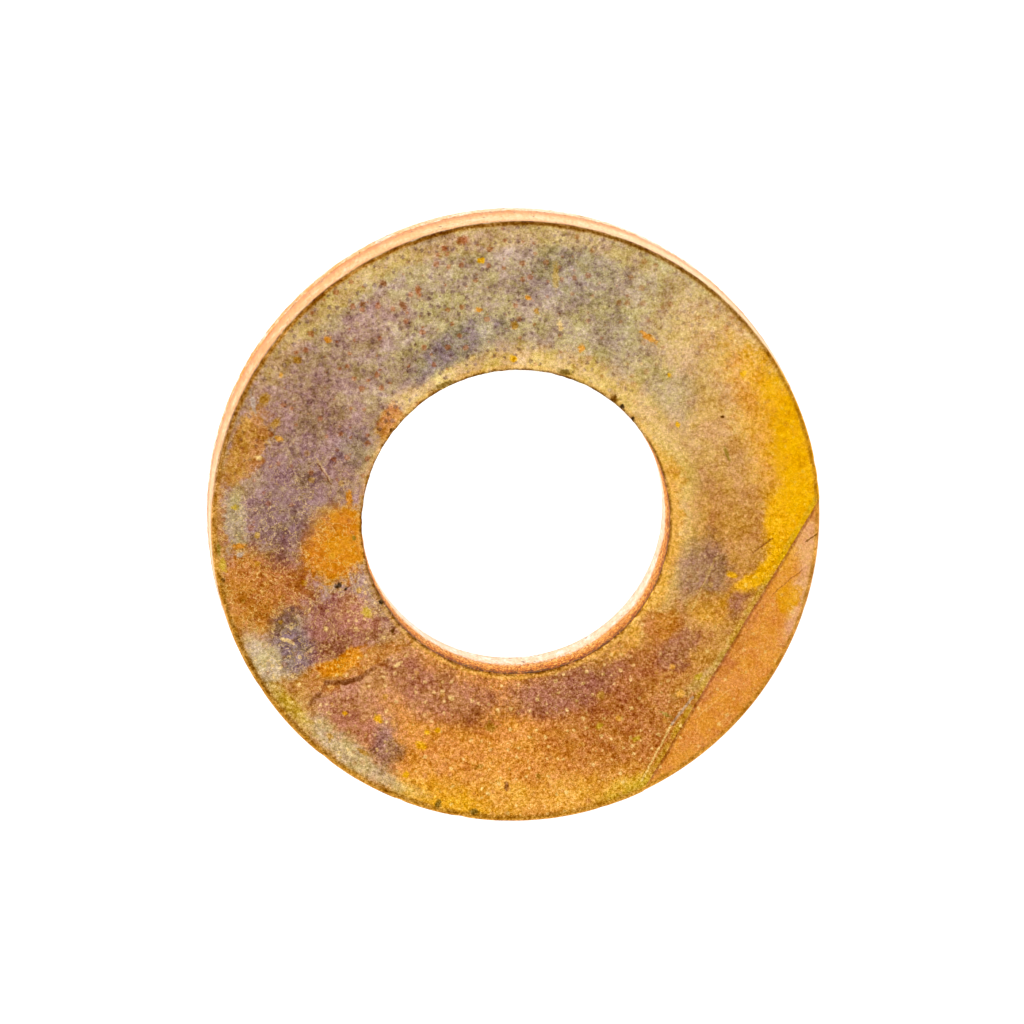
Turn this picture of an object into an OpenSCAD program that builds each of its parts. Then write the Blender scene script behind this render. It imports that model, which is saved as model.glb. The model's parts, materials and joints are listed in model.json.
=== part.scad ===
// Flat washer for a 12 to 13 mm bolt: one disc with a round hole, punched from
// steel plate. It lies flat with its rolled face up. +Z is the axis of the hole,
// and the origin is the centre of the hole on the underside, where the washer rests.
//
// A punched edge has three bands: a rolled corner where the tool entered, a smooth
// land that the tool wiped, and a torn band where the steel broke away. The rim
// was cut towards the underside's burr and the hole towards the top face, so the
// rim rolls over at the top and the hole rolls over at the bottom.

/* [Washer] */
// Outside diameter of the rim
outside_d = 27; // [23:0.5:34]
// Diameter of the hole, across its smooth land
hole_d = 13.5; // [11:0.1:15]
// Thickness of the plate
thickness = 3.65; // [3:0.05:4.5]

/* [Rim] */
// Radius of the rolled corner around the top face
rim_roll_r = 0.2; // [0.1:0.05:0.8]
// Height of the torn band, up from the underside
rim_torn_h = 1.1; // [0.5:0.05:1.5]
// How far the torn band falls back at the underside
rim_torn_in = 0.05; // [0.01:0.01:0.2]

/* [Hole] */
// Radius of the rolled corner around the hole on the underside
hole_roll_r = 0.3; // [0.15:0.05:0.6]
// Height of the torn band, down from the top face
hole_torn_h = 1.7; // [0.5:0.05:1.9]
// How far the torn band opens out at the top face
hole_torn_out = 0.09; // [0.02:0.01:0.3]

/* [Hidden] */
$fn = 128;

rim_r = outside_d / 2;
hole_r = hole_d / 2;
yellow_zinc = [0.76, 0.57, 0.24];

// Round stock that finishes a corner, centred one radius inside both faces
module rolled_corner(x, y, r) {
  translate([x, y]) circle(r = r);
}

// Half of the washer's cross-section, with x as the radius and y as the height
module section() {
  polygon([
    [hole_r + hole_roll_r, 0],
    [rim_r - rim_torn_in, 0],
    [rim_r, rim_torn_h],
    [rim_r, thickness - rim_roll_r],
    [rim_r - rim_roll_r, thickness],
    [hole_r + hole_torn_out, thickness],
    [hole_r, thickness - hole_torn_h],
    [hole_r, hole_roll_r]
  ]);
  rolled_corner(rim_r - rim_roll_r, thickness - rim_roll_r, rim_roll_r);
  rolled_corner(hole_r + hole_roll_r, hole_roll_r, hole_roll_r);
}

module washer() {
  color(yellow_zinc) rotate_extrude() section();
}

washer();
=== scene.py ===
import json
import math
from collections import namedtuple

import bpy
import numpy as np
from mathutils import Matrix, Vector, noise


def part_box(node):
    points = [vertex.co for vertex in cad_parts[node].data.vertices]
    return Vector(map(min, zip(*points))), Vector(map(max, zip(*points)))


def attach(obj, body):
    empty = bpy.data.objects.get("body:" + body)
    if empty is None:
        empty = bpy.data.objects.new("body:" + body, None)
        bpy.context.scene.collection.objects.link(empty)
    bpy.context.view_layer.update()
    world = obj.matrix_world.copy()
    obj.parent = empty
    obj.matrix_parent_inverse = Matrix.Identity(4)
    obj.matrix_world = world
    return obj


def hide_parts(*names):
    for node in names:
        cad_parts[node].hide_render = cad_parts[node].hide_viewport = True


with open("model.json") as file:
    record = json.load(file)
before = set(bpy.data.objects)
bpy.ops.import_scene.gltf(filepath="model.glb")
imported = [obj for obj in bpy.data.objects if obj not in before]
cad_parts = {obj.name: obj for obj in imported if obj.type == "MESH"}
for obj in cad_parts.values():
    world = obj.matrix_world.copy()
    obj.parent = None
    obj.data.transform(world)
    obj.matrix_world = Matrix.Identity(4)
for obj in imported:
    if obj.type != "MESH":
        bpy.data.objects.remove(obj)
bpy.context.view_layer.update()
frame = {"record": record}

MM = 0.001

# ---------------------------------------------------------------- sizes, in mm
# The outline comes from the frame; the rest is the anatomy of a punched edge.
low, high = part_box("washer")
bore = next(m for m in frame["record"]["mounts"] if m["name"] == "bore")
RIM_R = (high.x - low.x) / 2 / MM
HOLE_R = bore["dims"]["r_mm"]
THICK = (high.z - low.z) / MM
RIM_ROLL = 0.2
RIM_TORN = 1.1
RIM_TORN_IN = 0.05
HOLE_ROLL = 0.3
HOLE_TORN = 1.7
HOLE_TORN_OUT = 0.09
HOLE_OUT = HOLE_R + HOLE_TORN_OUT
# Stains are laid out in mm along an arc of this radius.
ARC_R = 10.0
HOUR_ARC = 2 * math.pi * ARC_R / 12

# A straight-edged facet was pressed into one side of the top face. It starts over a short
# step, drops a little below the face, and has calmer plate by a share.
FACET_CLOCK = 4.03
FACET_FROM_AXIS = 11.1
FACET_STEP = 0.12
FACET_DROP = 0.05
FACET_CALM = 0.6


def clock_direction(clock):
    """The level unit vector that points to an hour, with 12 along +Y and 3 along +X."""
    angle = math.radians(90 - 30 * clock)
    return np.array([math.cos(angle), math.sin(angle)])


def clock_point(clock, radius):
    """A point on the face, in mm, from its hour and its distance from the axis."""
    return clock_direction(clock) * radius


# ---------------------------------------------------------------- marks on the top face
# Small marks, each half as long as "along" and half as wide as "across", in mm. A mark
# is turned from the line round the ring. Its pit is the depth of its dent in the plate,
# and a grain that stands up has a pit below zero.
Spot = namedtuple("Spot", "clock radius along across turn paint pit")
TOP_SPOTS = [
    # Upper left: rust blooms and flat olive scabs
    Spot(11.25, 11.3, 0.13, 0.26, -10, "red_brown", 0.020),
    Spot(11.75, 11.9, 0.18, 0.14, 0, "yellow", 0.010),
    Spot(10.50, 11.8, 0.15, 0.17, 0, "orange", 0.015),
    Spot(10.25, 12.2, 0.17, 0.20, 0, "scab", 0.015),
    Spot(10.10, 12.4, 0.12, 0.10, 0, "gold", 0.010),
    Spot(9.90, 12.5, 0.33, 0.22, -5, "scab", 0.025),
    Spot(9.78, 11.6, 0.26, 0.17, 0, "scab", 0.020),
    Spot(9.68, 11.2, 0.13, 0.18, 0, "gold", 0.015),
    Spot(9.50, 11.8, 0.10, 0.20, 0, "cream", 0.0),
    Spot(9.85, 12.9, 0.55, 0.10, 38, "lilac", 0.0),
    Spot(10.85, 12.0, 0.14, 0.12, 0, "rust_dark", 0.0),
    Spot(11.05, 12.3, 0.16, 0.16, 0, "rust_dark", 0.0),
    Spot(11.10, 11.0, 0.14, 0.22, 0, "rust_dark", 0.0),
    Spot(11.65, 12.9, 0.26, 0.18, 0, "red_brown", 0.0),
    Spot(11.52, 12.75, 0.12, 0.14, 0, "red_brown", 0.0),
    # Top: a line of small blisters towards the hole
    Spot(11.97, 7.35, 0.17, 0.15, 0, "yellow", 0.030),
    Spot(11.98, 8.85, 0.17, 0.17, 0, "scab", 0.025),
    Spot(11.67, 9.7, 0.15, 0.10, 0, "orange", 0.010),
    Spot(0.10, 10.1, 0.13, 0.12, 0, "orange", 0.015),
    Spot(0.18, 9.5, 0.11, 0.15, 25, "scab", 0.015),
    Spot(0.42, 9.0, 0.12, 0.26, 30, "cream", 0.010),
    Spot(0.68, 8.3, 0.14, 0.18, 0, "orange", 0.015),
    Spot(11.52, 7.65, 0.20, 0.14, 0, "cream", 0.0),
    Spot(0.30, 11.2, 0.14, 0.60, 10, "olive", 0.0),
    Spot(1.18, 10.1, 0.42, 0.13, 0, "orange", 0.010),
    Spot(1.00, 9.2, 0.12, 0.12, 0, "pale_green", 0.0),
    # Dark crumbs on the edge of the hole
    Spot(11.10, 6.98, 0.55, 0.11, -8, "scab_dark", 0.040),
    Spot(0.58, 7.05, 0.30, 0.12, 0, "scab_dark", 0.040),
    Spot(1.28, 7.00, 0.18, 0.14, 0, "dark", 0.050),
    Spot(1.42, 6.95, 0.12, 0.10, 0, "black", 0.040),
    Spot(1.62, 6.92, 0.10, 0.08, 0, "black", 0.040),
    Spot(10.25, 6.95, 0.12, 0.08, 0, "dark", 0.030),
    # Right
    Spot(1.54, 9.4, 0.10, 0.10, 0, "yellow", 0.0),
    Spot(1.97, 8.35, 0.12, 0.12, 0, "yellow", 0.010),
    Spot(1.90, 12.0, 0.14, 0.14, 0, "yellow", 0.0),
    Spot(2.42, 9.8, 0.36, 0.09, 6, "moss", 0.010),
    Spot(2.38, 10.2, 0.40, 0.30, 0, "ochre", 0.0),
    Spot(2.11, 10.25, 0.08, 0.07, 0, "dark", 0.010),
    Spot(3.49, 9.9, 0.13, 0.26, 0, "yellow", 0.0),
    # Lower right: small round blisters, and a flake of green beside the facet
    Spot(4.45, 9.6, 0.14, 0.14, 0, "gold", 0.010),
    Spot(4.37, 10.75, 0.20, 0.15, 0, "lime", 0.010),
    Spot(4.57, 10.7, 0.18, 0.18, 0, "gold", 0.010),
    Spot(4.76, 11.0, 0.09, 0.30, 20, "moss", 0.010),
    Spot(5.10, 10.0, 0.14, 0.14, 0, "gold", 0.010),
    Spot(5.27, 9.95, 0.18, 0.14, 0, "lime", 0.0),
    Spot(5.15, 8.7, 0.20, 0.18, 0, "scab", 0.0),
    Spot(5.05, 11.2, 0.20, 0.12, 0, "lime", 0.0),
    # Bottom
    Spot(5.84, 11.5, 0.12, 0.13, 0, "scab", 0.015),
    Spot(6.07, 11.9, 0.10, 0.18, 0, "rust_dark", 0.015),
    Spot(6.28, 11.1, 0.22, 0.10, 30, "scab", 0.010),
    Spot(6.23, 9.3, 0.28, 0.20, 0, "scab", 0.0),
    Spot(6.27, 13.15, 0.22, 0.13, 0, "scab_dark", 0.030),
    Spot(6.51, 13.10, 0.14, 0.20, 0, "scab_dark", 0.030),
    Spot(6.67, 8.4, 0.14, 0.12, 0, "cream", 0.0),
    Spot(6.76, 10.85, 0.26, 0.17, 0, "yellow", -0.010),
    Spot(6.76, 10.2, 0.13, 0.12, 0, "yellow", -0.010),
    Spot(6.68, 9.95, 0.13, 0.12, 0, "yellow", -0.010),
    Spot(6.78, 12.3, 0.14, 0.14, 0, "yellow", -0.010),
    Spot(7.12, 12.3, 0.26, 0.10, 0, "scab", 0.010),
    Spot(7.16, 10.7, 0.22, 0.17, 0, "yellow", 0.0),
    Spot(7.39, 11.4, 0.12, 0.12, 0, "yellow", 0.0),
    Spot(7.36, 12.6, 0.14, 0.14, 0, "scab", 0.015),
    Spot(7.32, 8.2, 0.09, 0.22, -20, "cream", 0.0),
    # Lower left: crumbs beside the orange crust
    Spot(8.36, 8.35, 0.12, 0.17, 10, "black", 0.050),
    Spot(8.30, 8.05, 0.07, 0.08, 0, "black", 0.030),
    Spot(7.99, 6.95, 0.12, 0.10, 0, "black", 0.040),
    Spot(7.62, 7.3, 0.07, 0.16, 30, "dark", 0.030),
    Spot(7.97, 7.7, 0.30, 0.22, 0, "lime", 0.0),
    Spot(8.03, 9.65, 0.10, 0.12, 0, "cream", 0.0),
    Spot(8.10, 11.4, 0.36, 0.08, 40, "cream", 0.0),
    Spot(8.75, 13.1, 0.34, 0.14, 0, "lime", 0.010),
    Spot(8.85, 13.2, 0.30, 0.09, 0, "moss", 0.020),
    Spot(8.65, 13.2, 0.10, 0.10, 0, "dark", 0.030),
    Spot(8.86, 12.3, 0.12, 0.30, 0, "orange", 0.0),
    Spot(8.80, 12.3, 0.14, 0.18, 0, "lilac", 0.0),
    Spot(8.84, 7.2, 0.11, 0.10, 0, "moss", 0.010),
    Spot(9.31, 7.5, 0.36, 0.16, 10, "orange", 0.010),
    Spot(9.13, 12.5, 0.12, 0.16, 0, "lime", 0.0),
]

# Scratches, and the painted shadow along the crease, run as straight strokes from one (clock, radius) to
# another.
Scratch = namedtuple("Scratch", "start end width paint strength")
TOP_SCRATCHES_AND_CREASE_SHADOW = [
    Scratch((5.15, 13.0), (4.77, 11.5), 0.07, "cream", 0.75),
    Scratch((4.77, 11.5), (4.52, 11.2), 0.10, "lilac", 0.60),
    Scratch((3.28, 10.6), (3.15, 11.4), 0.05, "rust_dark", 0.55),
    Scratch((3.93, 8.8), (3.38, 9.0), 0.07, "straw", 0.50),
    Scratch((3.16, 12.9), (3.10, 13.4), 0.05, "dark", 0.60),
    Scratch((3.55, 11.9), (3.35, 12.9), 0.04, "rust_dark", 0.35),
    Scratch((4.30, 12.2), (4.62, 12.0), 0.04, "cream", 0.35),
    Scratch((9.62, 9.3), (9.46, 8.5), 0.06, "cream", 0.40),
    Scratch((9.58, 9.2), (9.42, 8.4), 0.05, "rust_dark", 0.45),
]

# A crease runs under a raised crust on the lower left of the top face, and a line of painted shadow is laid
# along it.
CREASE = [(7.62, 12.2), (7.63, 11.6), (7.66, 11.0), (7.56, 10.4), (7.50, 9.8), (7.48, 9.1), (7.42, 8.4)]
# How strong the painted shadow is along each piece of the crease, and how wide it is.
CREASE_SHADOW_STRENGTHS = (0.6, 0.4, 0.8, 1.0, 0.55, 0.3)
CREASE_SHADOW_WIDTH = 0.17
CREASE_WIDTH = 0.13
CREASE_DEPTH = 0.040
CRUST_FROM_CREASE = 0.45
CRUST_CLOCK = 7.3
CRUST_WIDTH = 0.38
CRUST_HEIGHT = 0.035
# The painted shadow along the crease, as one stroke along each piece of it.
TOP_SCRATCHES_AND_CREASE_SHADOW += [
    Scratch(start, end, CREASE_SHADOW_WIDTH, "rust_dark", strength)
    for start, end, strength in zip(CREASE, CREASE[1:], CREASE_SHADOW_STRENGTHS)]

# A pit is a little wider than its spot of paint.
PIT_SPREAD = 1.3

# Nicks are bitten out of the rim's upper corner.
NICK_FROM_RIM = 0.1
Nick = namedtuple("Nick", "clock size depth")
NICKS = [
    Nick(0.90, 0.25, 0.04), Nick(2.65, 0.25, 0.05), Nick(2.77, 0.20, 0.04), Nick(3.60, 0.25, 0.04),
    Nick(5.45, 0.20, 0.03), Nick(6.35, 0.30, 0.06), Nick(6.75, 0.25, 0.05), Nick(7.30, 0.35, 0.05),
    Nick(7.90, 0.30, 0.05), Nick(8.45, 0.30, 0.06), Nick(9.20, 0.25, 0.05), Nick(11.60, 0.30, 0.04),
]

# Waves in a surface: their height and the size of a feature, in mm, how many finer
# octaves they have, and a shift that keeps two sets of waves apart. The height of the
# crust's lumps is a share of the crust's own height.
Wave = namedtuple("Wave", "height size octaves shift")
PLATE_WAVES = [Wave(0.010, 3.5, 3, 0.0), Wave(0.005, 0.55, 3, 7.0)]
LAND_STREAKS = Wave(0.006, 0.35, 3, 3.0)
LAND_WAVES = Wave(0.010, 2.5, 2, 5.0)
TORN_GRAIN = Wave(0.030, 0.30, 4, 11.0)
TORN_WAVES = Wave(0.015, 1.2, 2, 2.0)
CRUST_LUMPS = Wave(0.6, 0.6, 3, 21.0)
RIM_TORN_EDGE = Wave(0.16, 3.0, 4, 0.0)
HOLE_TORN_EDGE = Wave(0.14, 1.6, 4, 9.0)
# Features of a wall are stretched along its height, more on the wiped land.
LAND_SQUEEZE = 0.12
TORN_SQUEEZE = 0.7
# The underside is sunk so that its waves stay above the plane that the washer lies on, and
# read from a shifted place so that they aren't the top's.
UNDER_SINK = 0.012
UNDER_SHIFT = 40


def ripple(points, size, octaves, offset):
    """Smooth noise from about -1 to 1 at each point; size is its feature size in mm."""
    places = points.reshape(-1, 3) / size + offset
    values = [noise.fractal(Vector(p), 1.0, 2.0, octaves) for p in places]
    return np.array(values).reshape(points.shape[:-1])


def swell(points, wave):
    """The height of a set of waves at each point."""
    return wave.height * ripple(points, wave.size, wave.octaves, wave.shift)


def ease(value, start, end):
    """0 before start, 1 after end and a smooth rise between them."""
    t = np.clip((value - start) / (end - start), 0, 1)
    return t * t * (3 - 2 * t)


def dents(flat):
    """Depth of the spots' round-bottomed pits and of the nicks at each level point."""
    pits = [(s.clock, s.radius, PIT_SPREAD * max(s.along, s.across), s.pit) for s in TOP_SPOTS if s.pit]
    bites = [(n.clock, RIM_R - NICK_FROM_RIM, n.size, n.depth) for n in NICKS]
    depth = np.zeros(flat.shape[:-1])
    for clock, radius, size, deep in pits + bites:
        away = np.linalg.norm(flat - clock_point(clock, radius), axis=-1)
        depth += deep * np.exp(-((away / size) ** 2) * 2)
    return depth


def distance_to_path(flat, path):
    """Distance from each level point to a chain of straight segments."""
    best = np.full(flat.shape[:-1], 1e9)
    for a, b in zip(path, path[1:]):
        along = np.clip(((flat - a) @ (b - a)) / ((b - a) @ (b - a)), 0, 1)
        best = np.minimum(best, np.linalg.norm(flat - a - along[..., None] * (b - a), axis=-1))
    return best


def plate_relief(points):
    """Rolled plate: long low waves and a fine pebbled grain."""
    return sum(swell(points, wave) for wave in PLATE_WAVES)


def top_relief(points):
    """The top face's plate with its facet, crease, crust, dents and nicks."""
    flat = points[..., :2]
    past_edge = flat @ clock_direction(FACET_CLOCK) - FACET_FROM_AXIS
    facet = ease(past_edge, 0.0, FACET_STEP)
    fold = [clock_point(*corner) for corner in CREASE]
    crease = distance_to_path(flat, fold)
    crust = distance_to_path(flat + clock_direction(CRUST_CLOCK) * CRUST_FROM_CREASE, fold)
    height = plate_relief(points) * (1 - FACET_CALM * facet)
    height -= FACET_DROP * facet * (0.7 + 0.3 * past_edge.clip(0, 3))
    height -= CREASE_DEPTH * np.exp(-((crease / CREASE_WIDTH) ** 2))
    height += CRUST_HEIGHT * np.exp(-((crust / CRUST_WIDTH) ** 2)) * (1 + swell(points, CRUST_LUMPS))
    return height - dents(flat)


def underside_relief(points):
    """The hidden face: the same plate with its own waves."""
    return plate_relief(points + [UNDER_SHIFT, 0, 0]) - UNDER_SINK


def land_relief(points):
    """The smooth land of a punched wall, wiped into faint upright streaks."""
    return swell(points * [1, 1, LAND_SQUEEZE], LAND_STREAKS) + swell(points, LAND_WAVES)


def torn_relief(points):
    """The torn band of a punched wall, coarse and grainy."""
    return swell(points * [1, 1, TORN_SQUEEZE], TORN_GRAIN) + swell(points, TORN_WAVES)


# ---------------------------------------------------------------- the mesh
COLUMNS = 660
# Places where the edge of the torn band in the hole rises: an hour, how far, in mm, and
# the angle that the rise fades over, in radians. It falls where the rise is below zero.
TornStep = namedtuple("TornStep", "clock rise reach")
HOLE_TORN_STEPS = [TornStep(4.15, 0.35, 0.12), TornStep(3.55, -0.2, 0.1), TornStep(3.2, 0.2, 0.08)]
# The materials' places in the washer's list.
FACE_TOP, RIM, HOLE, FACE_UNDER = range(4)
# A band of the section runs from start to end (r, z), straight or as a corner that turns
# from one angle to another. "wall" is the place down the wall at its two ends.
Band = namedtuple("Band", "rows material relief start end curve wall")


def band_heights(angles):
    """Height of the torn edge on the rim and on the hole, wavering round the washer."""
    ring = np.stack([np.cos(angles), np.sin(angles), 0 * angles], -1)
    rim = RIM_TORN + swell(ring * RIM_R, RIM_TORN_EDGE)
    hole = HOLE_TORN + swell(ring * HOLE_R, HOLE_TORN_EDGE)
    for step in HOLE_TORN_STEPS:
        away = np.angle(np.exp(1j * (angles - math.radians(90 - 30 * step.clock))))
        hole -= step.rise * np.exp(-((away / step.reach) ** 2))
    return rim, hole


def section_bands(angles):
    """The washer's section as bands in order round it."""
    rim_torn, hole_torn = band_heights(angles)
    rim_in = RIM_R - RIM_ROLL
    rim_out = RIM_R - RIM_TORN_IN
    land_top = THICK - RIM_ROLL
    hole_in = THICK - hole_torn
    flat_from = HOLE_R + HOLE_ROLL
    return [
        Band(28, FACE_UNDER, underside_relief, (flat_from, 0), (rim_out, 0), None, (2, 2)),
        Band(15, RIM, torn_relief, (rim_out, 0), (RIM_R, rim_torn), None, (2, 1)),
        Band(12, RIM, land_relief, (RIM_R, rim_torn), (RIM_R, land_top), None, (1, 0)),
        Band(6, FACE_TOP, top_relief, (RIM_R, land_top), (rim_in, THICK), (0, 90), (0, 0)),
        Band(53, FACE_TOP, top_relief, (rim_in, THICK), (HOLE_OUT, THICK), None, (0, 0)),
        Band(16, HOLE, torn_relief, (HOLE_OUT, THICK), (HOLE_R, hole_in), None, (0, 1)),
        Band(10, HOLE, land_relief, (HOLE_R, hole_in), (HOLE_R, HOLE_ROLL), None, (1, 2)),
        Band(5, HOLE, land_relief, (HOLE_R, HOLE_ROLL), (flat_from, 0), (180, 270), (2, 2)),
    ]


def band_rows(band, angles):
    """Radius, height and place down the wall of each row of a band, one value per column."""
    ones = np.ones_like(angles)
    for step in range(band.rows):
        t = step / band.rows
        if band.curve:
            turn = math.radians(band.curve[0] + t * (band.curve[1] - band.curve[0]))
            roll = abs(band.end[0] - band.start[0])
            centre = (band.end[0], band.start[1])
            radius = centre[0] + roll * math.cos(turn)
            height = centre[1] + roll * math.sin(turn)
        else:
            radius = band.start[0] + t * (band.end[0] - band.start[0])
            height = band.start[1] + t * (band.end[1] - band.start[1])
        wall = band.wall[0] + t * (band.wall[1] - band.wall[0])
        yield radius * ones, height * ones, wall


def outward_normals(grid):
    """Unit normals of a closed grid of points, from its neighbours."""
    across = np.roll(grid, -1, 0) - np.roll(grid, 1, 0)
    around = np.roll(grid, -1, 1) - np.roll(grid, 1, 1)
    normals = np.cross(around, across)
    return normals / np.linalg.norm(normals, axis=-1, keepdims=True)


def washer_mesh():
    """The whole washer as one closed skin, with its place down each wall as an attribute."""
    angles = np.linspace(0, 2 * math.pi, COLUMNS, endpoint=False)
    bands = section_bands(angles)
    rows, walls, materials = [], [], []
    for band in bands:
        for radius, height, wall in band_rows(band, angles):
            rows.append(np.stack([radius * np.cos(angles), radius * np.sin(angles), height], -1))
            walls.append(wall)
            materials.append(band.material)
    grid = np.array(rows)
    normals = outward_normals(grid)
    relief = np.zeros(grid.shape[:2])
    for kind in dict.fromkeys(band.relief for band in bands):
        weight = np.concatenate([np.full(b.rows, float(b.relief is kind)) for b in bands])
        weight = (np.roll(weight, 1) + 2 * weight + np.roll(weight, -1)) / 4
        used = weight > 0
        relief[used] += weight[used, None] * kind(grid[used])
    grid = grid + normals * relief[..., None]
    grid[..., 2] = grid[..., 2].clip(0, None)

    count = len(rows)
    row, column = np.meshgrid(np.arange(count), np.arange(COLUMNS), indexing="ij")
    next_row, next_column = (row + 1) % count, (column + 1) % COLUMNS
    corners = [(row, column), (row, next_column), (next_row, next_column), (next_row, column)]
    faces = np.stack([r * COLUMNS + c for r, c in corners], -1).reshape(-1, 4)

    mesh = bpy.data.meshes.new("washer_plated")
    mesh.from_pydata((grid.reshape(-1, 3) * MM).tolist(), [], faces.tolist())
    mesh.polygons.foreach_set("material_index", np.repeat(materials, COLUMNS).astype(np.int32))
    mesh.polygons.foreach_set("use_smooth", np.ones(len(faces), bool))
    place = mesh.attributes.new("wall_place", "FLOAT", "POINT")
    place.data.foreach_set("value", np.repeat(walls, COLUMNS).astype(np.float32))
    mesh.update()
    return mesh


# ---------------------------------------------------------------- shader graph helper
# Colours are mixed as they look on a display. At the end they are dimmed by this gain and
# made linear with this gamma.
DISPLAY_GAMMA = 2.2
FACE_GAIN = 0.965


def rgb(red, green, blue):
    """A colour as it looks on a display, from 0 to 255 in each channel."""
    return (red / 255, green / 255, blue / 255, 1.0)


class Graph:
    """One material's node tree, with a short call for each kind of node it needs."""

    def __init__(self, name):
        self.material = bpy.data.materials.new(name)
        self.material.use_nodes = True
        self.tree = self.material.node_tree
        self.surface = self.tree.nodes["Principled BSDF"]

    def node(self, kind, inputs=(), **settings):
        """A new node of a kind, with its inputs fed and its settings made."""
        made = self.tree.nodes.new("ShaderNode" + kind)
        for key, value in settings.items():
            setattr(made, key, value)
        for slot, value in inputs:
            self.feed(made.inputs[slot], value)
        return made

    def feed(self, socket, value):
        """A link where the value is another node's output, and else a plain value."""
        if isinstance(value, bpy.types.NodeSocket):
            self.tree.links.new(value, socket)
        else:
            socket.default_value = value

    def math(self, operation, *values, clamp=False):
        return self.node("Math", enumerate(values), operation=operation, use_clamp=clamp).outputs[0]

    def vector(self, operation, *values):
        made = self.node("VectorMath", enumerate(values), operation=operation)
        return made.outputs["Value" if operation in ("LENGTH", "DOT_PRODUCT") else "Vector"]

    def noise(self, place, size, detail=2.0, roughness=0.5, output="Fac"):
        made = self.node("TexNoise", [("Vector", place), ("Scale", 1 / size), ("Detail", detail),
                                      ("Roughness", roughness)])
        return made.outputs[output]

    def noise_vector(self, place, size, detail, roughness):
        """Noise in each of three directions."""
        apart = self.node("SeparateColor", [("Color", self.noise(place, size, detail, roughness, "Color"))])
        return self.node("CombineXYZ", enumerate(apart.outputs)).outputs[0]

    def rise(self, value, start, end, low=0.0, high=1.0):
        """A smooth step from low, where value is start, to high, where it is end."""
        made = self.node("MapRange", [("Value", value), ("From Min", start), ("From Max", end),
                                      ("To Min", low), ("To Max", high)], interpolation_type="SMOOTHSTEP")
        return made.outputs["Result"]

    def mix(self, factor, first, second, blend_type="MIX"):
        made = self.node("Mix", [(0, factor), (6, first), (7, second)], data_type="RGBA",
                         blend_type=blend_type)
        return made.outputs[2]

    def sway(self, shade, amount, value, low, high):
        """A colour pushed by an amount: towards low where the value is 0, and high where it is 1."""
        push = self.mix(value, low, high)
        return self.mix(amount, shade, push, "LINEAR_LIGHT")

    def light(self, shade):
        """A colour as it looks on a display, turned into the linear colour that shaders use."""
        within = self.node("Mix", [(0, 1 - FACE_GAIN), (6, shade), (7, (0, 0, 0, 1))], data_type="RGBA",
                           clamp_result=True).outputs[2]
        return self.node("Gamma", [("Color", within), ("Gamma", DISPLAY_GAMMA)]).outputs[0]

    def ramp(self, value, stops):
        """A colour ramp through (place, colour) stops."""
        made = self.node("ValToRGB", [("Fac", value)])
        points = made.color_ramp.elements
        while len(points) < len(stops):
            points.new(0.5)
        for point, (place, shade) in zip(points, stops):
            point.position, point.color = place, shade
        return made.outputs["Color"]

    def bump(self, height, distance, normal=None):
        """A normal tilted by a height that spans a distance in mm, on top of another normal."""
        made = self.node("Bump", [("Height", height), ("Distance", distance * MM)])
        if normal:
            self.feed(made.inputs["Normal"], normal)
        return made.outputs["Normal"]


def millimetres(graph):
    """The object's own coordinates in mm."""
    place = graph.node("TexCoord").outputs["Object"]
    return graph.vector("MULTIPLY", place, (1 / MM, 1 / MM, 1 / MM))


def wander(graph, place, size, amount):
    """The same coordinates pushed about by noise, so that drawn edges turn ragged."""
    push = graph.noise_vector(place, size, 3, 0.6)
    push = graph.vector("MULTIPLY", graph.vector("SUBTRACT", push, (0.5, 0.5, 0.5)), (amount, amount, 0))
    return graph.vector("ADD", place, push)


# ---------------------------------------------------------------- plating colours
PAINT = {
    "khaki": rgb(184, 162, 126),
    "slate": rgb(146, 130, 118),
    "straw": rgb(226, 188, 112),
    "olive": rgb(198, 162, 88),
    "mauve": rgb(170, 134, 112),
    "violet": rgb(146, 114, 102),
    "dusk": rgb(134, 112, 108),
    "lilac": rgb(190, 168, 152),
    "sage": rgb(188, 168, 124),
    "pale_green": rgb(208, 186, 140),
    "sand": rgb(214, 174, 112),
    "ochre": rgb(196, 138, 68),
    "gold": rgb(230, 164, 62),
    "yellow": rgb(238, 174, 12),
    "deep_yellow": rgb(222, 152, 14),
    "lime": rgb(200, 164, 44),
    "moss": rgb(150, 122, 40),
    "brown": rgb(168, 98, 52),
    "plum": rgb(164, 106, 80),
    "blush": rgb(190, 128, 92),
    "rust": rgb(190, 118, 46),
    # Dark rust-brown for rust marks, and also for painted shade along the crease and the facet's step.
    "rust_dark": rgb(122, 66, 28),
    "red_brown": rgb(166, 92, 50),
    "orange": rgb(218, 136, 30),
    "copper": rgb(206, 130, 64),
    "amber": rgb(222, 146, 62),
    "pink": rgb(230, 172, 120),
    "cream": rgb(244, 206, 128),
    "flame": rgb(236, 176, 78),
    "wall_rust": rgb(230, 132, 12),
    "violet_dark": rgb(116, 84, 80),
    "gilt": rgb(224, 168, 40),
    "brass": rgb(206, 144, 46),
    # Painted shade on the rolled corners of the rim and the hole.
    "umber": rgb(126, 78, 18),
    # Olive-brown for scabs, and also for the halo of painted shade inside the rim's corner.
    "scab": rgb(178, 126, 40),
    "scab_dark": rgb(112, 84, 26),
    "dark": rgb(92, 52, 4),
    "black": rgb(34, 20, 8),
}

# The ground colour of each face at each hour from 12, before its stains.
TOP_GROUND = (
    "khaki", "sage", "sand", "ochre", "ochre", "rust",
    "amber", "copper", "mauve", "mauve", "mauve", "khaki")
UNDER_GROUND = (
    "copper", "sand", "khaki", "sage", "gold", "amber",
    "copper", "plum", "mauve", "khaki", "sand", "amber")

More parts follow.
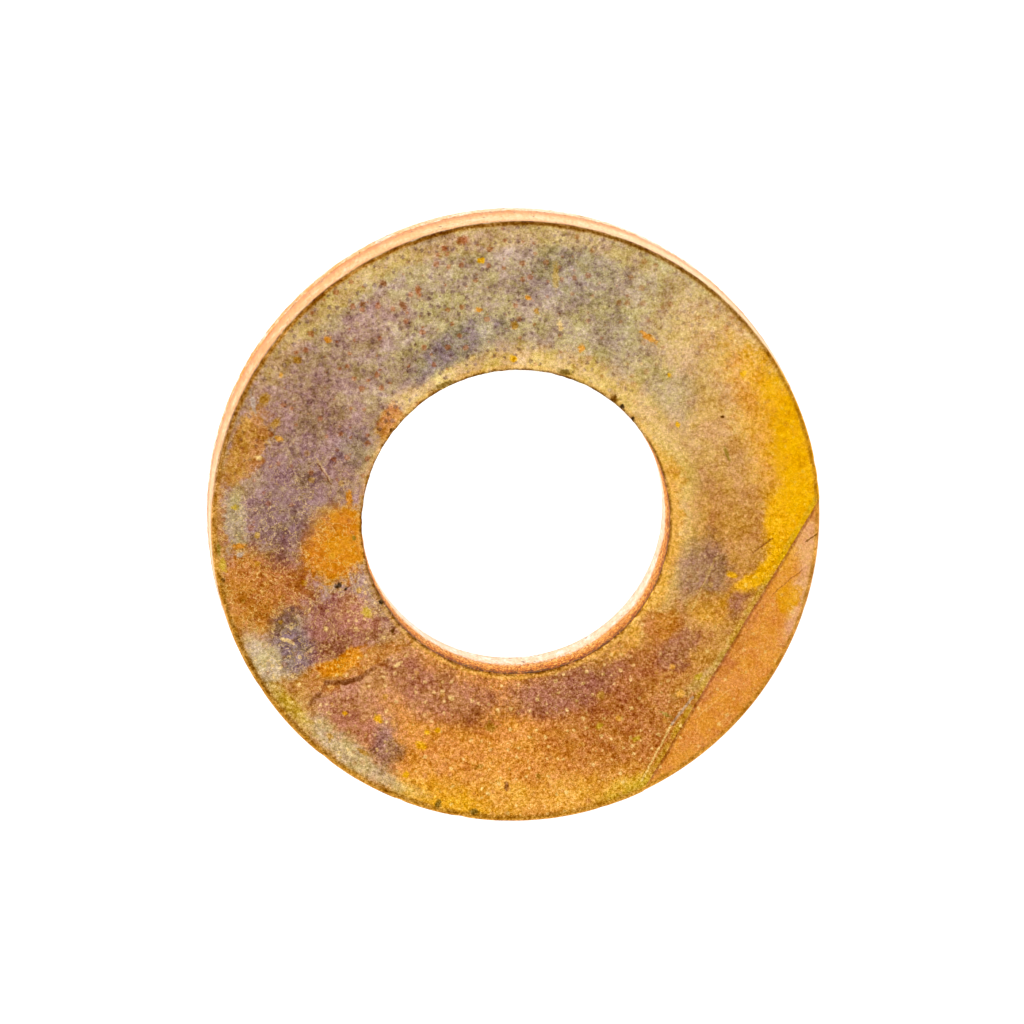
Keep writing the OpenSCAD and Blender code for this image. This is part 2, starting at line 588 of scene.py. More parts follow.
# A stain lies at an hour and a radius. It is half as long as "along", half as wide as
# "across" and turned from the line round the ring; "soft" is the width of its margin.
Stain = namedtuple("Stain", "clock radius along across turn paint strength soft")
TOP_STAINS = [
    # Lighter halo beside the hole
    Stain(1.9, 7.0, 15.0, 1.1, 0, "straw", 0.85, 0.45),
    Stain(10.8, 7.0, 5.5, 0.7, 0, "straw", 0.60, 0.45),
    Stain(3.2, 7.0, 6.0, 0.5, 0, "gold", 0.70, 0.40),
    Stain(10.3, 7.3, 1.0, 0.5, 0, "copper", 0.70, 0.35),
    # Top
    Stain(11.35, 8.4, 2.8, 0.7, 10, "slate", 0.80, 0.45),
    Stain(9.85, 7.9, 1.2, 0.9, 0, "slate", 0.45, 0.45),
    Stain(0.4, 11.2, 1.8, 1.2, 20, "slate", 0.50, 0.50),
    Stain(1.0, 9.6, 1.8, 0.8, 0, "slate", 0.20, 0.50),
    Stain(11.4, 10.4, 1.8, 0.9, 0, "sage", 0.60, 0.45),
    Stain(11.5, 12.2, 1.4, 0.6, 0, "mauve", 0.25, 0.40),
    Stain(10.9, 11.0, 1.6, 1.1, 0, "mauve", 0.60, 0.40),
    Stain(10.7, 12.9, 4.4, 0.5, 0, "olive", 0.55, 0.55),
    Stain(0.0, 12.9, 6.0, 0.5, 0, "sand", 0.45, 0.50),
    # Right
    Stain(1.7, 11.4, 3.0, 1.8, 0, "sand", 0.70, 0.50),
    Stain(1.65, 9.0, 1.6, 0.9, 0, "sage", 0.55, 0.45),
    Stain(2.1, 9.9, 1.6, 0.8, 0, "ochre", 0.40, 0.60),
    Stain(2.4, 12.2, 3.8, 1.4, 0, "gold", 0.90, 0.50),
    Stain(2.6, 12.9, 3.2, 1.1, 0, "yellow", 1.00, 0.45),
    Stain(3.05, 11.9, 1.4, 0.9, 0, "yellow", 0.95, 0.30),
    Stain(3.4, 11.2, 2.2, 0.35, -38, "yellow", 0.90, 0.35),
    Stain(2.9, 10.0, 2.2, 1.0, 0, "ochre", 0.35, 0.50),
    Stain(3.55, 8.6, 1.8, 1.1, 0, "violet", 0.60, 0.45),
    Stain(3.72, 10.4, 0.7, 0.5, 0, "plum", 0.80, 0.35),
    Stain(3.85, 9.4, 0.8, 0.9, 0, "gold", 0.60, 0.40),
    # Lower right
    Stain(5.0, 8.6, 3.4, 1.1, 0, "brown", 0.75, 0.50),
    Stain(5.2, 10.4, 3.0, 1.6, 0, "brown", 0.45, 0.55),
    Stain(4.3, 9.2, 1.1, 0.7, 0, "plum", 0.70, 0.35),
    Stain(4.2, 8.0, 0.9, 0.8, 0, "rust", 0.95, 0.40),
    Stain(4.6, 7.4, 1.5, 0.30, 0, "gold", 0.60, 0.35),
    Stain(4.3, 10.9, 1.6, 0.25, -8, "olive", 0.70, 0.50),
    Stain(5.25, 13.1, 1.3, 0.5, 0, "lime", 0.85, 0.40),
    # Bottom
    Stain(5.5, 7.9, 3.6, 1.0, 0, "plum", 0.80, 0.45),
    Stain(6.1, 11.0, 4.0, 1.2, 0, "amber", 0.50, 0.50),
    Stain(6.1, 12.6, 4.6, 0.9, 0, "gold", 0.85, 0.45),
    Stain(6.55, 12.9, 1.6, 0.7, 0, "yellow", 0.55, 0.45),
    Stain(6.6, 11.0, 2.0, 1.5, 0, "amber", 0.60, 0.40),
    Stain(6.8, 8.4, 3.0, 1.2, 0, "plum", 0.70, 0.45),
    # Lower left
    Stain(7.3, 11.2, 1.9, 1.2, 0, "blush", 0.75, 0.40),
    Stain(7.2, 12.75, 2.6, 0.5, -3, "pale_green", 0.85, 0.55),
    Stain(7.0, 11.6, 0.5, 1.1, 15, "violet", 0.60, 0.55),
    Stain(8.5, 11.8, 1.9, 2.0, 0, "rust", 0.95, 0.25),
    Stain(8.6, 9.9, 1.8, 1.0, 0, "brown", 0.55, 0.35),
    Stain(8.95, 10.4, 1.4, 1.6, 0, "violet", 0.65, 0.40),
    Stain(8.8, 8.0, 2.3, 1.5, -10, "orange", 0.95, 0.25),
    Stain(7.95, 9.1, 1.8, 1.9, 15, "plum", 0.90, 0.25),
    Stain(8.0, 8.2, 1.1, 0.8, 0, "blush", 0.75, 0.45),
    Stain(8.08, 11.3, 1.4, 0.9, -15, "dusk", 0.75, 0.40),
    Stain(8.0, 12.7, 1.5, 0.65, 0, "pale_green", 0.90, 0.40),
    Stain(7.62, 9.9, 0.6, 2.9, -20, "rust", 0.75, 0.35),
    Stain(7.70, 9.9, 0.5, 1.2, -20, "orange", 0.95, 0.30),
    Stain(7.72, 12.4, 0.9, 0.7, 0, "ochre", 0.80, 0.40),
    Stain(7.68, 13.0, 1.1, 0.4, 0, "lime", 0.60, 0.50),
    # Left
    Stain(9.25, 10.0, 2.0, 1.8, 0, "violet", 0.75, 0.45),
    Stain(9.75, 9.9, 1.4, 1.0, 20, "violet", 0.50, 0.45),
    Stain(9.55, 12.5, 1.5, 0.8, 0, "ochre", 0.95, 0.25),
    Stain(8.95, 13.2, 2.2, 0.3, 0, "ochre", 0.80, 0.40),
    Stain(9.05, 12.4, 1.0, 0.5, 0, "sage", 0.85, 0.35),
]
FACET_STAINS = [
    Stain(3.15, 12.9, 0.8, 1.0, 0, "pink", 0.80, 0.40),
    Stain(3.50, 13.1, 1.6, 0.5, 0, "pink", 0.95, 0.35),
    Stain(3.55, 12.6, 0.5, 0.5, 0, "deep_yellow", 0.80, 0.40),
    Stain(3.30, 12.1, 0.9, 0.4, 0, "gold", 0.70, 0.50),
    Stain(4.0, 11.4, 4.5, 0.35, 0, "copper", 0.80, 0.50),
    Stain(4.5, 12.7, 2.0, 0.7, 0, "amber", 0.90, 0.50),
]
UNDER_STAINS = [
    Stain(1.0, 10.0, 7.0, 2.2, 0, "khaki", 0.7, 0.4),
    Stain(5.0, 9.5, 4.0, 2.0, 10, "plum", 0.8, 0.4),
    Stain(8.0, 11.0, 4.0, 1.8, -10, "gold", 0.8, 0.4),
    Stain(10.2, 9.0, 2.4, 1.6, 0, "violet", 0.7, 0.4),
    Stain(3.0, 12.0, 3.0, 1.2, 0, "orange", 0.7, 0.4),
    Stain(7.0, 8.0, 2.0, 0.9, 20, "rust", 0.8, 0.3),
    Stain(11.5, 12.2, 3.0, 0.8, 0, "pale_green", 0.7, 0.4),
]

# Zones of the top face with little grain, half as long as "along" and half as wide as "across".
Zone = namedtuple("Zone", "clock radius along across")
SMOOTH_ZONES = [Zone(2.65, 12.9, 3.4, 1.3), Zone(8.85, 8.0, 2.2, 1.3)]

# How strong each effect is at each hour from 12.
CLOUDS_BY_HOUR = (1.1, 1.0, 0.7, 0.6, 0.65, 0.6, 0.6, 0.75, 0.85, 0.8, 1.0, 1.1)
CRYSTALS_BY_HOUR = (0.28, 0.28, 0.30, 0.34, 0.40, 0.50, 0.52, 0.46, 0.42, 0.34, 0.30, 0.28)
HUE_BY_HOUR = (0.16, 0.14, 0.11, 0.10, 0.10, 0.09, 0.09, 0.10, 0.11, 0.12, 0.14, 0.16)
FLECKS_BY_HOUR = (0.25, 0.3, 0.4, 0.4, 0.7, 1.0, 1.0, 0.9, 0.9, 0.3, 0.2, 0.25)
CRACKLE_BY_HOUR = (0.1, 0.15, 0.25, 0.3, 0.4, 0.4, 0.4, 0.4, 0.8, 0.8, 0.15, 0.1)
DOTS_BY_HOUR = (0.8, 0.6, 0.2, 0.0, 0.0, 0.0, 0.0, 0.0, 0.0, 0.2, 0.8, 1.0)
BLOOMS_BY_HOUR = (0.8, 0.5, 0.3, 0.3, 0.4, 0.5, 0.5, 0.4, 0.4, 0.6, 0.9, 1.0)
RIM_RUST_BY_HOUR = (0.25, 0.2, 0.3, 0.5, 0.5, 0.5, 0.5, 0.5, 0.3, 0.2, 0.9, 0.5)
# How strong the painted shade on the rim's corner is at each hour.
RIM_SHADE_BY_HOUR = (1.0, 0.9, 0.5, 0.5, 0.5, 0.35, 0.4, 0.55, 0.8, 0.6, 0.9, 1.0)
RIM_GOLD_BY_HOUR = (0.0, 0.0, 0.2, 0.4, 0.6, 0.9, 1.0, 1.0, 1.0, 0.6, 0.1, 0.0)
# How strong the painted shade on the hole wall's top corner is at each hour.
HOLE_SHADE_BY_HOUR = (0.3, 0.3, 0.3, 0.4, 0.6, 1.0, 1.0, 0.9, 0.5, 0.4, 0.3, 0.3)
HOLE_RING_BY_HOUR = (0.4, 0.4, 0.5, 0.8, 0.8, 0.6, 0.8, 0.8, 0.4, 0.3, 0.4, 0.5)
# The rim's wall has no painted shade at its top corner.
RIM_NO_SHADE_BY_HOUR = (0.0,) * 12
HOLE_RUST_BY_HOUR = (0.3,) * 12

# Crumbs of a paint sprinkled over a face: the cell that each lies in and their size, in mm,
# the share of cells with a crumb, the paint's strength, and a shift that keeps the kinds apart.
Crumb = namedtuple("Crumb", "paint cell size share strength hours shift")
RUST_BLOOMS = Crumb("red_brown", 0.62, 0.085, 0.55, 0.6, BLOOMS_BY_HOUR, (5, 23, 0))
VIOLET_DOTS = Crumb("violet_dark", 0.32, 0.065, 0.6, 0.55, DOTS_BY_HOUR, (41, 3, 0))
GILT_CRUMBS = Crumb("gilt", 1.2, 0.09, 0.4, 0.6, CRACKLE_BY_HOUR, (19, 11, 0))
CREAM_CRUMBS = Crumb("cream", 0.42, 0.055, 0.45, 0.7, FLECKS_BY_HOUR, None)

# Lines along an edge: where each starts, is full, is full to and ends, in mm from the edge.
OLIVE_STRIP = (-0.32, -0.16, -0.04, 0.02)
# Painted shade along the facet's step.
FACET_STEP_SHADE = (-0.04, 0.02, 0.05, 0.18)
# Painted shade along the rim's rolled corner, and a softer halo of painted shade inside it.
RIM_SHADE_LINE = (-0.02, 0.03, 0.10, 0.20)
RIM_SHADE_HALO = (0.0, 0.04, 0.12, 0.32)
HOLE_RING = (0.02, 0.08, 0.18, 0.30)
# The gold corner of the rim fades in between these distances, and moves the line of painted shade
# inwards by this much.
RIM_GOLD_FADE = (0.30, 0.16)
RIM_SHADE_PUSH = 0.14
# The painted shade on the hole's edge fades in between these distances.
HOLE_EDGE_FADE = (0.15, 0.04)
# A spot fades out between these shares of its half sizes.
SPOT_FADE = (0.50, 1.40)
SPOT_STRENGTH = 0.80
# Shifts that keep one noise from lining up with another.
HUE_SHIFT = (31, 17, 5)
CRYSTAL_SHIFT = (13, 7, 3)
SPECK_SHIFT = (3, 9, 1)

# The two ends of a push in colour, for Graph.sway.
VIOLET_PUSH, GREEN_PUSH = (0.50, 0.41, 0.62, 1), (0.55, 0.57, 0.35, 1)
ORANGE_PUSH, PALE_PUSH = (0.42, 0.20, 0.02, 1), (0.54, 0.62, 0.70, 1)
RUST_PUSH, ICE_PUSH = (0.15, 0, 0, 1), (0.85, 1, 1, 1)
DARKER, LIGHTER = (0, 0, 0, 1), (1, 1, 1, 1)


def ring_place(graph, place):
    """Coordinates along the ring, in mm at the arc's radius, and across it."""
    apart = graph.node("SeparateXYZ", [("Vector", place)])
    angle = graph.math("ARCTAN2", apart.outputs["X"], apart.outputs["Y"])
    along = graph.math("MULTIPLY", angle, ARC_R)
    flat = graph.vector("MULTIPLY", place, (1, 1, 0))
    return along, graph.vector("LENGTH", flat)


def colour_by_hour(graph, along, shades):
    """The colours of the twelve hours blended round the ring."""
    from_six = graph.math("MULTIPLY_ADD", along, 1 / (12 * HOUR_ARC), 0.5)
    stops = [(((hour + 6) % 12) / 12, shade) for hour, shade in enumerate(shades)]
    return graph.ramp(from_six, sorted(stops) + [(1.0, shades[6])])


def by_hour(graph, along, strengths):
    """The strengths of the twelve hours blended round the ring."""
    greys = [(strength, strength, strength, 1.0) for strength in strengths]
    return graph.node("RGBToBW", [("Color", colour_by_hour(graph, along, greys))]).outputs[0]


def patch(graph, point, centre, turn, along, across, ragged):
    """How far a point lies from the centre of a turned ellipse, as a share of its half sizes."""
    from_centre = graph.vector("SUBTRACT", point, (*centre, 0))
    cos, sin = math.cos(turn), math.sin(turn)
    x = graph.vector("DOT_PRODUCT", from_centre, (cos / along, sin / along, 0))
    y = graph.vector("DOT_PRODUCT", from_centre, (-sin / across, cos / across, 0))
    inside = graph.node("CombineXYZ", [("X", x), ("Y", y)]).outputs[0]
    return graph.math("ADD", graph.vector("LENGTH", inside), ragged)


def ring_patch(graph, along, radius, mark, turn, ragged):
    """How far a point of the ring lies from a mark that is bent round it."""
    centre = mark.clock * HOUR_ARC
    half_turn = 6 * HOUR_ARC
    near = graph.math("WRAP", along, centre + half_turn, centre - half_turn)
    point = graph.node("CombineXYZ", [("X", near), ("Y", radius)]).outputs[0]
    return patch(graph, point, (centre, mark.radius), math.radians(turn), mark.along, mark.across, ragged)


def stained(graph, shade, place, ragged, stains):
    """A colour with each stain laid over it in turn, bent round the ring."""
    along, radius = ring_place(graph, place)
    for stain in stains:
        away = ring_patch(graph, along, radius, stain, stain.turn, ragged)
        mask = graph.rise(away, 1 - stain.soft, 1 + stain.soft, stain.strength, 0.0)
        shade = graph.mix(mask, shade, PAINT[stain.paint])
    return shade


def spotted(graph, shade, flat, ragged, spots):
    """A colour with each small mark laid over it in turn."""
    for spot in spots:
        centre = clock_point(spot.clock, spot.radius)
        turn = math.radians(-30 * spot.clock + spot.turn)
        away = patch(graph, flat, centre, turn, spot.along, spot.across, ragged)
        mask = graph.rise(away, *SPOT_FADE, SPOT_STRENGTH, 0.0)
        shade = graph.mix(mask, shade, PAINT[spot.paint])
    return shade


def stroked(graph, shade, flat, strokes):
    """A colour with each straight stroke laid over it in turn: real scores in the plate, and the painted
    shadow along the crease.
    """
    for stroke in strokes:
        start = clock_point(*stroke.start)
        run = clock_point(*stroke.end) - start
        from_start = graph.vector("SUBTRACT", flat, (*start, 0))
        share = graph.vector("DOT_PRODUCT", from_start, (*(run / (run @ run)), 0))
        share = graph.math("MULTIPLY", share, 1.0, clamp=True)
        reach = graph.node("VectorMath", [(0, (*run, 0)), ("Scale", share)], operation="SCALE")
        away = graph.vector("LENGTH", graph.vector("SUBTRACT", from_start, reach.outputs["Vector"]))
        mask = graph.rise(away, stroke.width * 0.3, stroke.width, stroke.strength, 0.0)
        shade = graph.mix(mask, shade, PAINT[stroke.paint])
    return shade


def flecks(graph, place, cell, size, share):
    """Small ragged crumbs, one in a share of the cells of the face."""
    crumbled = wander(graph, place, 0.10, 0.22)
    cells = graph.node("TexVoronoi", [("Vector", crumbled), ("Scale", 1 / cell)], voronoi_dimensions="2D")
    chosen = graph.node("SeparateColor", [("Color", cells.outputs["Color"])])
    picked = graph.math("LESS_THAN", chosen.outputs["Red"], share)
    width = graph.rise(chosen.outputs["Green"], 0.0, 1.0, 0.4 * size / cell, 1.6 * size / cell)
    inside = graph.math("SUBTRACT", width, cells.outputs["Distance"])
    return graph.math("MULTIPLY", graph.rise(inside, -0.5 * size / cell, 0.5 * size / cell), picked)


def band(graph, value, start, full_from, full_to, end):
    """1 between two values and 0 beyond them, with a smooth rise and fall."""
    return graph.math("MULTIPLY", graph.rise(value, start, full_from), graph.rise(value, end, full_to))


def overlay(graph, shade, paint, amount, *masks):
    """A colour covered by a paint by an amount, where every mask is 1."""
    for mask in masks:
        amount = graph.math("MULTIPLY", mask, amount)
    return graph.mix(amount, shade, PAINT[paint])


def faceted(graph, shade, place, loose, ragged, stains):
    """A face with the pressed facet, the olive strip along its edge, and a line of painted shade along its
    step.
    """
    past = graph.vector("DOT_PRODUCT", wander(graph, place, 0.8, 0.10), (*clock_direction(FACET_CLOCK), 0))
    past = graph.math("SUBTRACT", past, FACET_FROM_AXIS)
    facet = graph.rise(past, -0.02, 0.04)
    shade = graph.mix(facet, shade, stained(graph, PAINT["amber"], loose, ragged, stains))
    uneven = graph.rise(graph.noise(place, 1.3, 3, 0.6), 0.35, 0.60)
    shade = overlay(graph, shade, "lime", 0.55, band(graph, past, *OLIVE_STRIP), uneven)
    # Painted shade along the facet's step.
    shade = overlay(graph, shade, "rust_dark", 0.55, band(graph, past, *FACET_STEP_SHADE))
    return shade, facet


def smoothed(graph, place, calm, zones):
    """How calm the grain is: as calm as before, or 1 in the smooth zones."""
    along, radius = ring_place(graph, place)
    for zone in zones:
        away = ring_patch(graph, along, radius, zone, 0, 0.0)
        calm = graph.math("MAXIMUM", calm, graph.rise(away, 1.2, 0.7))
    return calm


def worn_and_shaded_edges(graph, shade, place):
    """A gold corner and a broken line of painted shade round the rim's rolled corner, a pale gold ring
    round the hole, and painted shade on the hole's edge.
    """
    along, radius = ring_place(graph, wander(graph, place, 0.5, 0.12))
    inward = graph.math("SUBTRACT", RIM_R, radius)
    gold = by_hour(graph, along, RIM_GOLD_BY_HOUR)
    # The line of painted shade lies on the corner at the top of the face, and inside the gold elsewhere.
    from_line = graph.math("SUBTRACT", inward, graph.math("MULTIPLY", gold, RIM_SHADE_PUSH))
    broken = graph.rise(graph.noise(place, 0.5, 4, 0.8), 0.40, 0.54)
    strength = by_hour(graph, along, RIM_SHADE_BY_HOUR)
    # A softer halo of painted shade inside the line.
    shade = overlay(graph, shade, "scab", 0.45, band(graph, from_line, *RIM_SHADE_HALO), strength)
    shade = overlay(graph, shade, "brass", 0.90, graph.rise(inward, *RIM_GOLD_FADE), gold)
    solid = graph.math("MAXIMUM", broken, graph.rise(gold, 0.5, 0.0))
    # The line of painted shade: whole where there is no gold, broken where there is.
    shade = overlay(graph, shade, "umber", 0.92, band(graph, from_line, *RIM_SHADE_LINE), solid, strength)
    ring = by_hour(graph, along, HOLE_RING_BY_HOUR)
    from_hole = graph.math("SUBTRACT", radius, HOLE_OUT)
    shade = overlay(graph, shade, "flame", 0.8, band(graph, from_hole, *HOLE_RING), ring)
    # Painted shade on the hole's edge, broken.
    return overlay(graph, shade, "umber", 0.75, graph.rise(from_hole, *HOLE_EDGE_FADE), broken)


def sprinkled(graph, shade, place, along, crumb):
    """A colour with one kind of crumb sprinkled over it."""
    moved = graph.vector("ADD", place, crumb.shift) if crumb.shift else place
    grains = flecks(graph, moved, crumb.cell, crumb.size, crumb.share)
    return overlay(graph, shade, crumb.paint, crumb.strength, grains, by_hour(graph, along, crumb.hours))


def webbed(graph, shade, place, along):
    """A colour with a web of fine cream lines over it."""
    web = graph.math("ABSOLUTE", graph.math("SUBTRACT", graph.noise(place, 0.8, 3, 0.75), 0.5))
    lines = graph.rise(web, 0.020, 0.0)
    return overlay(graph, shade, "cream", 0.75, lines, by_hour(graph, along, CRACKLE_BY_HOUR))


def spread(graph, place, size, detail, roughness, width):
    """Noise spread evenly about zero over a width."""
    return graph.math("MULTIPLY_ADD", graph.noise(place, size, detail, roughness), width, -width / 2)


def plated_face(name, hours, stains, spots=(), strokes=(), facet_stains=(), zones=()):
    """Stained, mottled and flecked plating on a face, with its worn rim and hole edges and painted shade on
    their corners.
    """
    graph = Graph(name)
    place = millimetres(graph)
    loose = wander(graph, wander(graph, place, 1.6, 1.1), 0.35, 0.40)
    tight = graph.vector("MULTIPLY", wander(graph, place, 0.25, 0.16), (1, 1, 0))
    ragged = spread(graph, place, 0.8, 6, 0.85, 1.5)
    crumbly = spread(graph, tight, 0.14, 2, 0.7, 1.8)
    along, _ = ring_place(graph, loose)
    ground = colour_by_hour(graph, along, [PAINT[paint] for paint in hours])
    shade = stained(graph, ground, loose, ragged, stains)
    calm = 0.0
    if facet_stains:
        shade, calm = faceted(graph, shade, place, loose, ragged, facet_stains)
    if zones:
        calm = smoothed(graph, loose, calm, zones)

    # The hue drifts between violet and yellow-green.
    hue = graph.noise(graph.vector("ADD", place, HUE_SHIFT), 0.9, 4, 0.85)
    drift = by_hour(graph, along, HUE_BY_HOUR)
    shade = graph.sway(shade, drift, graph.rise(hue, 0.36, 0.64), VIOLET_PUSH, GREEN_PUSH)
    for crumb in (RUST_BLOOMS, VIOLET_DOTS, GILT_CRUMBS):
        shade = sprinkled(graph, shade, place, along, crumb)
    shade = webbed(graph, shade, place, along)
    shade = sprinkled(graph, shade, place, along, CREAM_CRUMBS)
    shade = worn_and_shaded_edges(graph, shade, place)
    shade = spotted(graph, shade, tight, crumbly, spots)
    # Scratches, and the painted shadow along the crease.
    shade = stroked(graph, shade, tight, strokes)

    # Clouds and crystals lighten and darken the face, less where it is calm.
    clouds = graph.noise(place, 1.6, 5, 1.0)
    crystals = graph.noise(graph.vector("ADD", place, CRYSTAL_SHIFT), 0.12, 2, 0.9)
    cloudy = by_hour(graph, along, CLOUDS_BY_HOUR)
    cloudy = graph.math("MULTIPLY", cloudy, graph.rise(calm, 0, 1, 0.45, 0.26))
    shade = graph.sway(shade, cloudy, clouds, DARKER, LIGHTER)
    grainy = by_hour(graph, along, CRYSTALS_BY_HOUR)
    grainy = graph.math("MULTIPLY", grainy, graph.rise(calm, 0, 1, 1, 0.6))
    shade = graph.sway(shade, grainy, crystals, DARKER, LIGHTER)

    surface = graph.surface
    graph.feed(surface.inputs["Base Color"], graph.light(shade))
    surface.inputs["Metallic"].default_value = 1.0
    graph.feed(surface.inputs["Roughness"], graph.rise(clouds, 0.35, 0.65, 0.6, 0.42))
    coarse = graph.bump(clouds, 0.05)
    graph.feed(surface.inputs["Normal"], graph.bump(crystals, 0.02, coarse))
    return graph.material


# A punched wall: its colours from the top edge to the far edge, where its torn band starts
# and is full, its painted shade at the top corner and its rust by hour, its tint at a glancing
# view, how far the edge of its torn band crumbles, and how gritty the band is.
Wall = namedtuple("Wall", "stops torn line_hours rust_hours edge_tint crumble grit")


def punched_wall(name, wall):
    """A punched wall, coloured by its place from the top edge (0) to the far edge (2)."""
    graph = Graph(name)
    place = millimetres(graph)
    along, _ = ring_place(graph, place)
    down = graph.node("Attribute", attribute_name="wall_place").outputs["Fac"]
    torn = graph.rise(down, *wall.torn)
    # The edge of the torn band wavers and crumbles into dots.
    waver = spread(graph, place, 0.35, 3, 0.7, 0.36)
    scatter = spread(graph, place, 0.09, 1, 0.5, wall.crumble)
    level = graph.math("ADD", down, graph.math("ADD", waver, scatter))
    shade = graph.ramp(graph.math("MULTIPLY", level, 0.5), wall.stops)
    rust = graph.rise(graph.noise(place, 0.9, 4, 0.8), 0.62, 0.46)
    shade = overlay(graph, shade, "wall_rust", 0.8, rust, by_hour(graph, along, wall.rust_hours))
    streaks = graph.noise(graph.vector("MULTIPLY", place, (1, 1, LAND_SQUEEZE)), 0.16, 3, 0.8)
    shade = graph.sway(shade, 0.10, graph.rise(streaks, 0.36, 0.60), ORANGE_PUSH, PALE_PUSH)
    grain = graph.noise(place, 0.12, 2, 1.0)
    gritty = graph.math("MULTIPLY_ADD", torn, wall.grit, 0.05)
    shade = graph.sway(shade, gritty, graph.rise(grain, 0.38, 0.62), RUST_PUSH, ICE_PUSH)
    specks = graph.rise(graph.noise(graph.vector("ADD", place, SPECK_SHIFT), 0.20, 1, 0.5), 0.68, 0.72)
    shade = overlay(graph, shade, "rust_dark", 0.8, specks)
    uneven = graph.rise(graph.noise(place, 0.5, 3, 0.8), 0.30, 0.55)
    # Painted shade along the wall's top corner, by hour.
    shade = overlay(graph, shade, "dark", 0.95, graph.rise(level, 0.26, 0.10), uneven,
                    by_hour(graph, along, wall.line_hours))
    surface = graph.surface
    graph.feed(surface.inputs["Base Color"], graph.light(shade))
    surface.inputs["Metallic"].default_value = 0.9
    surface.inputs["Specular Tint"].default_value = wall.edge_tint
    graph.feed(surface.inputs["Roughness"], graph.rise(torn, 0, 1, 0.36, 0.6))
    fine = graph.bump(streaks, 0.010)
    graph.feed(surface.inputs["Normal"], graph.bump(graph.math("MULTIPLY", grain, torn), 0.05, fine))
    return graph.material


def rim_material():
    """The rim: a wiped land above, an orange line, and a torn band below, their pale zinc made paler with
    painted reflection of the white floor.
    """
    # The land's pale peach and the torn band's near-white are the zinc's colour with the white floor's
    # light painted in.
    stops = [(0.00, rgb(206, 140, 72)), (0.06, rgb(238, 198, 146)), (0.22, rgb(246, 216, 172)),
             (0.34, rgb(238, 186, 122)), (0.43, rgb(214, 136, 58)), (0.50, rgb(204, 126, 52)),
             (0.57, rgb(246, 226, 200)), (1.00, rgb(253, 249, 244))]
    return punched_wall("rim_zinc", Wall(
        stops=stops, torn=(0.95, 1.1), line_hours=RIM_NO_SHADE_BY_HOUR, rust_hours=RIM_RUST_BY_HOUR,
        edge_tint=(1.0, 0.93, 0.84, 1), crumble=0.4, grit=0.05))


def hole_material():
    """The hole: an orange torn band above, and a wiped land below, its near-white a painted reflection of
    the white floor.
    """
    # The near-white stops of the land are painted reflection of the white floor on the burnished zinc.
    stops = [(0.00, rgb(142, 74, 8)), (0.13, rgb(192, 106, 14)), (0.27, rgb(228, 144, 44)),
             (0.42, rgb(240, 176, 100)), (0.50, rgb(228, 156, 90)), (0.55, rgb(255, 248, 240)),
             (0.95, rgb(255, 253, 251)), (1.00, rgb(210, 190, 174))]
    return punched_wall("hole_zinc", Wall(
        stops=stops, torn=(1.05, 0.9), line_hours=HOLE_SHADE_BY_HOUR, rust_hours=HOLE_RUST_BY_HOUR,
        edge_tint=(1.0, 0.88, 0.76, 1), crumble=0.9, grit=0.22))


# ---------------------------------------------------------------- the washer
def make_washer():
    """The plated washer: the mesh with its four materials, in place of the CAD node."""
    piece = bpy.data.objects.new("washer_plated", washer_mesh())
    bpy.context.scene.collection.objects.link(piece)
    for material in (
        plated_face("top_zinc", TOP_GROUND, TOP_STAINS, TOP_SPOTS, TOP_SCRATCHES_AND_CREASE_SHADOW, FACET_STAINS,
                    SMOOTH_ZONES),
        rim_material(),
        hole_material(),
        plated_face("underside_zinc", UNDER_GROUND, UNDER_STAINS),
    ):
        piece.data.materials.append(material)
    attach(piece, "root")
    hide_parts("washer")
    return piece


# ---------------------------------------------------------------- floor, light and camera
FLOOR_RADIUS = 3.0
FLOOR_GLOW = 0.75
SKY_STRENGTH = 0.85
SoftBox = namedtuple("SoftBox", "name place size watts")
SOFT_BOXES = [
    SoftBox("soft_box_left", (-0.7, 0.5, 0.9), 0.6, 6.0),
    SoftBox("soft_box_right", (0.8, -0.4, 0.8), 0.5, 3.0),
]
# The camera's angle from straight down, the hour it leans to, its distance in metres, its
# lens in mm and the point that it looks at.
CAMERA_TILT = 11.7
CAMERA_CLOCK = 11.28
CAMERA_AWAY = 1.6
CAMERA_LENS = 1273
CAMERA_AIM = (-0.18 * MM, 0.46 * MM, THICK * MM)
CAMERA_REACH = (0.01, 20)


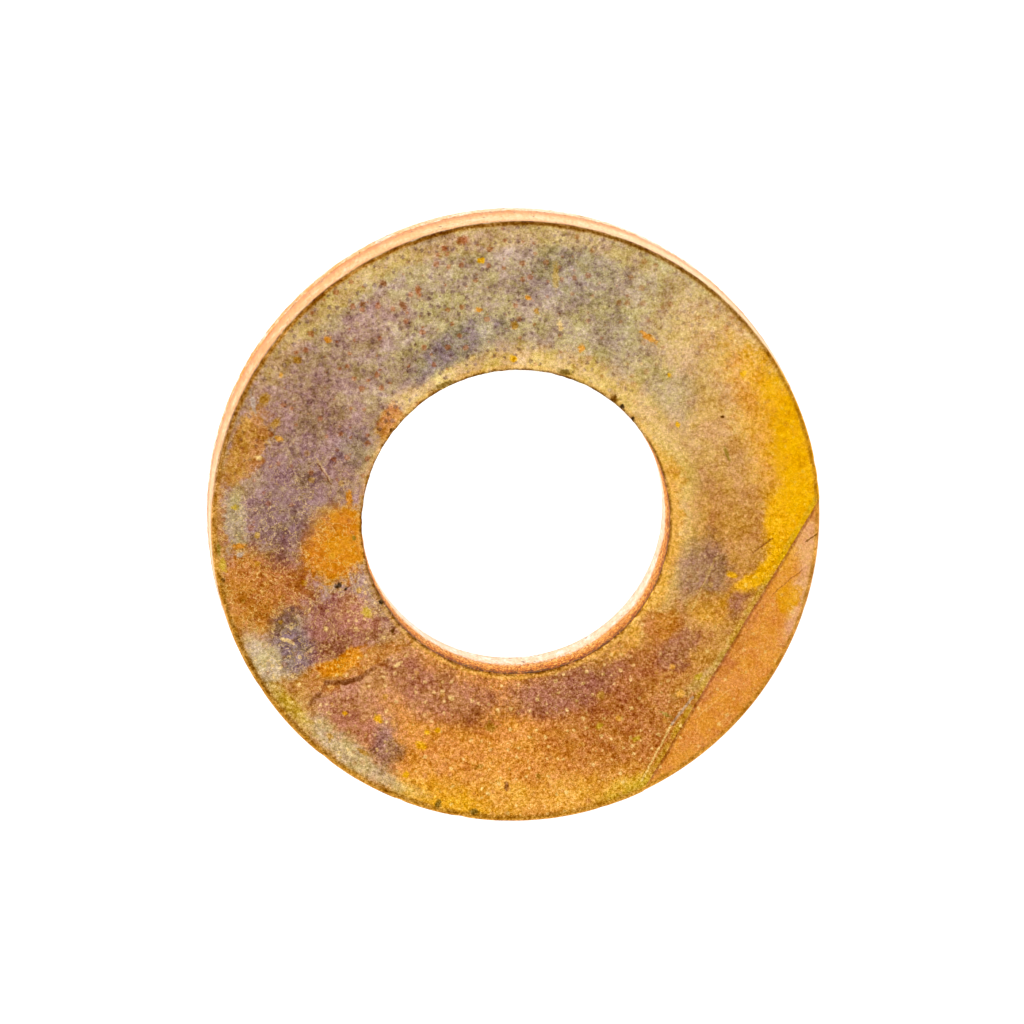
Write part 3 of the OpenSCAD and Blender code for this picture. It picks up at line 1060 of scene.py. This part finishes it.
def make_floor():
    """A wide white table that glows a little, so that it stays white round the washer."""
    bpy.ops.mesh.primitive_circle_add(vertices=96, radius=FLOOR_RADIUS, fill_type="NGON")
    floor = bpy.context.object
    floor.name = "floor"
    graph = Graph("light_table")
    graph.surface.inputs["Base Color"].default_value = (0.6, 0.6, 0.6, 1)
    graph.surface.inputs["Roughness"].default_value = 0.9
    graph.surface.inputs["Emission Color"].default_value = (1, 1, 1, 1)
    graph.surface.inputs["Emission Strength"].default_value = FLOOR_GLOW
    floor.data.materials.append(graph.material)


def make_light():
    """A white room and two large soft boxes."""
    scene = bpy.context.scene
    scene.world = bpy.data.worlds.new("white_room")
    scene.world.use_nodes = True
    sky = scene.world.node_tree.nodes["Background"]
    sky.inputs["Color"].default_value = (1, 1, 1, 1)
    sky.inputs["Strength"].default_value = SKY_STRENGTH
    for box in SOFT_BOXES:
        lamp = bpy.data.lights.new(box.name, "AREA")
        lamp.size = box.size
        lamp.energy = box.watts
        stand = bpy.data.objects.new(box.name, lamp)
        stand.location = box.place
        stand.rotation_euler = (-Vector(box.place)).to_track_quat("-Z", "Y").to_euler()
        scene.collection.objects.link(stand)


def make_camera():
    """Almost straight down, leaning a little towards 11 o'clock, with +Y up the picture."""
    camera = bpy.data.objects.new("camera", bpy.data.cameras.new("camera"))
    camera.data.lens = CAMERA_LENS
    camera.data.clip_start, camera.data.clip_end = CAMERA_REACH
    lean = math.radians(CAMERA_TILT)
    level = clock_direction(CAMERA_CLOCK) * math.sin(lean)
    back = Vector((level[0], level[1], math.cos(lean)))
    aim = Vector(CAMERA_AIM)
    camera.location = aim + back * CAMERA_AWAY
    # The picture's upright is +Y, tipped to lie square to the line of sight.
    right = Vector((0, 1, 0)).cross(back).normalized()
    up = back.cross(right)
    camera.rotation_euler = Matrix((right, up, back)).transposed().to_euler()
    bpy.context.scene.collection.objects.link(camera)
    bpy.context.scene.camera = camera


bpy.context.scene.view_settings.view_transform = "Standard"
make_camera()
make_light()
make_floor()
make_washer()
